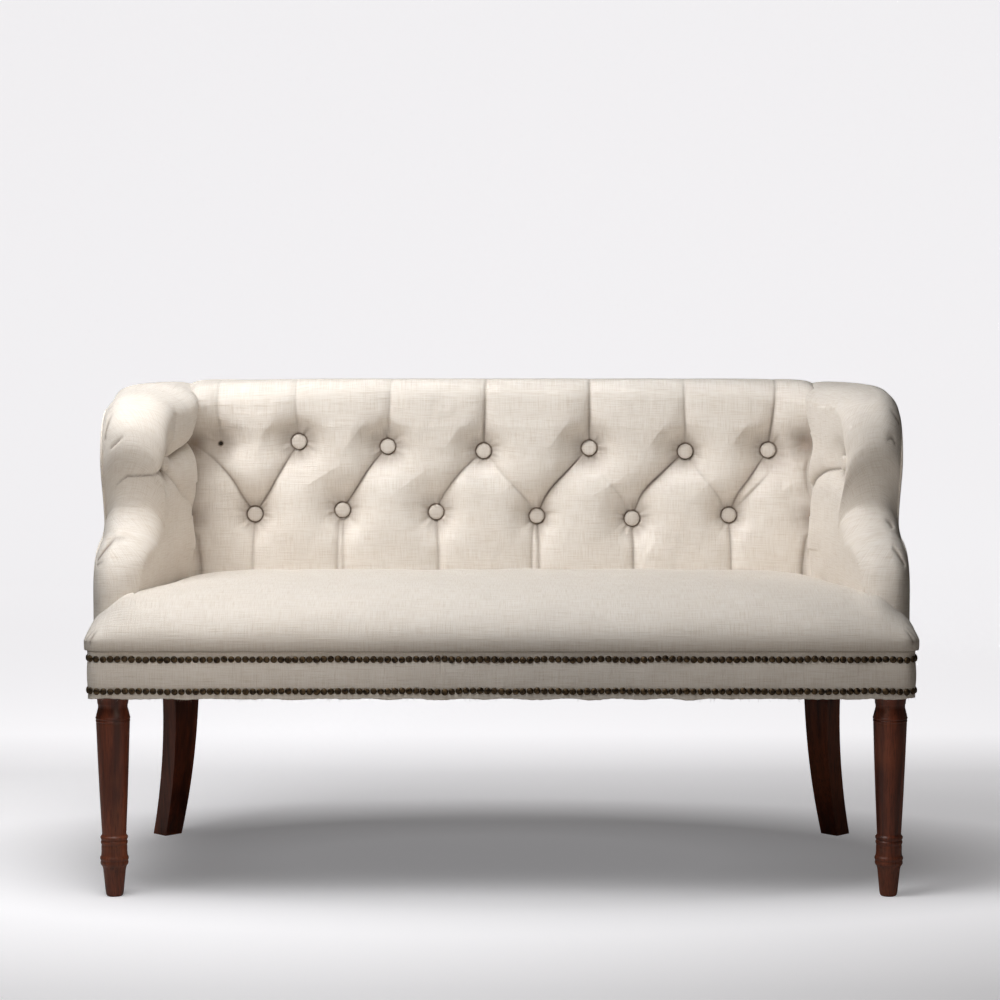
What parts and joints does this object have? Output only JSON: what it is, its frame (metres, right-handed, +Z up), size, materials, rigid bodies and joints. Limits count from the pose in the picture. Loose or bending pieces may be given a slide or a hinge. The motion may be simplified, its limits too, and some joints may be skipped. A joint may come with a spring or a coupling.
{
  "type": "settee",
  "caption": "Deep-buttoned two-seat settee with a wrap-around back, wings that sweep down into arms, a crowned seat, double rows of nails and turned front legs.",
  "frame": {"origin": "on the floor, under the middle of the settee's width and depth", "axes": "+X to the right as seen from the front, +Y to the rear, +Z up; the front faces -Y"},
  "size_m": [1.32, 0.628, 0.8042],
  "materials": {
    "frame_wood": "sawn, unfinished",
    "leg_wood": "dark reddish brown, satin polish",
    "webbing": "woven jute",
    "hessian": "open weave",
    "dust_cloth": "black cotton",
    "linen": "slubbed oatmeal linen",
    "nails": "antiqued, dark brown"
  },
  "bodies": {
    "root": {"front_rail": "frame_wood", "back_rail": "frame_wood", "side_rail_left": "frame_wood", "side_rail_right": "frame_wood", "rear_corner_rail_left": "frame_wood", "rear_corner_rail_right": "frame_wood", "corner_brace_left": "frame_wood", "corner_brace_right": "frame_wood", "seat_cross_braces": "frame_wood", "back_stiles": "frame_wood", "stay_rails": "frame_wood", "top_rail": "frame_wood", "top_corner_rail_left": "frame_wood", "top_corner_rail_right": "frame_wood", "wing_board_left": "frame_wood", "wing_board_right": "frame_wood", "arm_rail_left": "frame_wood", "arm_rail_right": "frame_wood", "front_leg_left": "leg_wood", "front_leg_right": "leg_wood", "rear_leg_left": "leg_wood", "rear_leg_right": "leg_wood", "seat_webbing_front_to_back": "webbing", "seat_webbing_side_to_side": "webbing", "back_webbing_upright": "webbing", "back_webbing_cross": "webbing", "seat_hessian": "hessian", "back_hessian": "hessian", "dust_cover": "dust_cloth", "seat": "linen", "inside_back": "linen", "inside_wing_left": "linen", "inside_wing_right": "linen", "buttons_lower": "linen", "buttons_upper": "linen", "outside_back": "linen", "outside_wing_left": "linen", "outside_wing_right": "linen", "rail_cover_front": "linen", "rail_cover_side_left": "linen", "rail_cover_side_right": "linen", "nail_trim_upper": "nails", "nail_trim_lower": "nails"}
  },
  "joints": []
}
